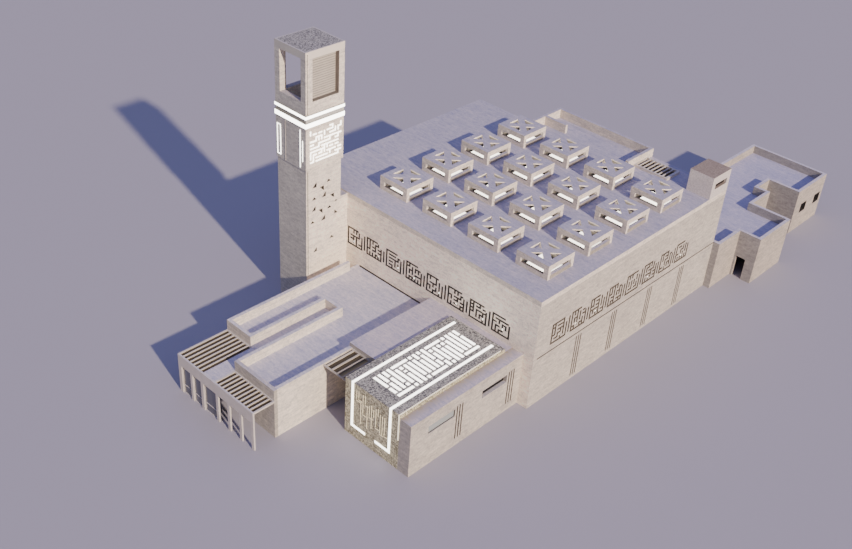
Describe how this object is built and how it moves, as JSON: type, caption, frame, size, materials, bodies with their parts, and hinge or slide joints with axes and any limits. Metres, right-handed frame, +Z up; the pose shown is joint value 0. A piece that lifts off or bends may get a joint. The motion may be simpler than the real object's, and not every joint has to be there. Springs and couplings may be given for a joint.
{
  "type": "mosque building (scale model at 1:2)",
  "caption": "Flat-roofed mosque of pale stone at half size: prayer hall with skylight boxes, square minaret, low entrance wing with portico, tan side block and long rear annex",
  "frame": {"origin": "on the ground, under the middle of the building's box", "axes": "+Z up, +Y from the portico towards the rear annex, +X to the right for someone facing the portico"},
  "size_m": [16.5996, 37.2748, 13.6498],
  "materials": {
    "stone": "honed pale limestone in fine courses",
    "roof": "smooth pale grey paving",
    "tan_stone": "speckled tan stone",
    "slat": "smooth cast stone",
    "light_band": "white stone lit along its edges",
    "glass": "dark tinted"
  },
  "bodies": {
    "root": {"hall_front_wall": "stone", "hall_right_wall": "stone", "hall_left_wall": "stone", "hall_back_wall": "stone", "hall_roof_bay_1": "roof", "hall_roof_bay_2": "roof", "hall_roof_bay_3": "roof", "hall_roof_bay_4": "roof", "rear_roof": "roof", "rear_parapet": "stone", "rear_pergola": "slat", "stair_box": "stone", "minaret_shaft": "stone", "minaret_band": "light_band", "minaret_lantern": "stone", "minaret_louvre": "slat", "minaret_roof": "roof", "wing_left_wall": "stone", "wing_front_wall": "stone", "porch_wall": "stone", "wing_right_wall": "stone", "wing_roof": "roof", "channel_parapet": "stone", "portico_frame": "stone", "portico_left_pergola": "slat", "portico_slab": "roof", "portico_right_pergola": "slat", "portico_glass": "glass", "side_entrance_wall": "stone", "side_entrance_pergola": "slat", "pale_roof": "roof", "pale_wall": "stone", "pale_wall_glass": "glass", "tan_wall": "tan_stone", "tan_roof": "tan_stone", "annex_front_wall": "stone", "annex_door_wall": "stone", "annex_right_wall": "stone", "annex_court_wall": "stone", "annex_end_right_wall": "stone", "annex_back_wall": "stone", "annex_left_wall": "stone", "annex_roof": "roof", "annex_end_glass": "glass", "annex_left_glass": "glass"}
  },
  "joints": []
}
